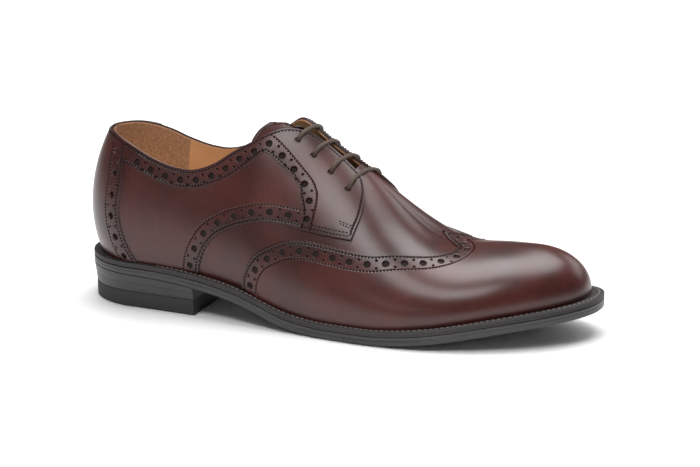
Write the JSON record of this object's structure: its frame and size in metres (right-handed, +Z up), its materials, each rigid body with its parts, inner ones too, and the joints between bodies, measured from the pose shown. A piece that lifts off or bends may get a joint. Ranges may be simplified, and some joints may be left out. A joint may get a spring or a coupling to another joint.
{
  "type": "wingtip derby shoe",
  "caption": "Man's right wingtip derby shoe in polished dark brown leather, with a brogued wing cap, straight lacing, a black welted sole and a stacked heel.",
  "frame": {"origin": "middle of the shoe's bounding box in plan, on the floor", "axes": "+X from heel to toe, +Y to the medial (inner) side, +Z up from the floor"},
  "size_m": [0.306, 0.101, 0.1119],
  "materials": {
    "upper_leather": "polished, burnished darker at edges and seams",
    "sock_leather": "smooth, unpolished",
    "sole_edge": "blackened, waxed, satin",
    "welt_leather": "blackened, satin",
    "heel_rubber": "matte",
    "lace_cotton": "round, braided, lightly waxed"
  },
  "bodies": {
    "root": {"outsole": "sole_edge", "welt": "welt_leather", "insole": "sock_leather", "heel_top_piece": "heel_rubber", "heel_lift_1": "sole_edge", "heel_lift_2": "sole_edge", "upper": "upper_leather", "tongue": "upper_leather", "wing_cap": "upper_leather", "quarter_lateral": "upper_leather", "quarter_medial": "upper_leather", "heel_counter": "upper_leather", "lace_bar_1": "lace_cotton", "lace_bar_2": "lace_cotton", "lace_bar_3": "lace_cotton", "lace_bar_4": "lace_cotton"}
  },
  "joints": []
}
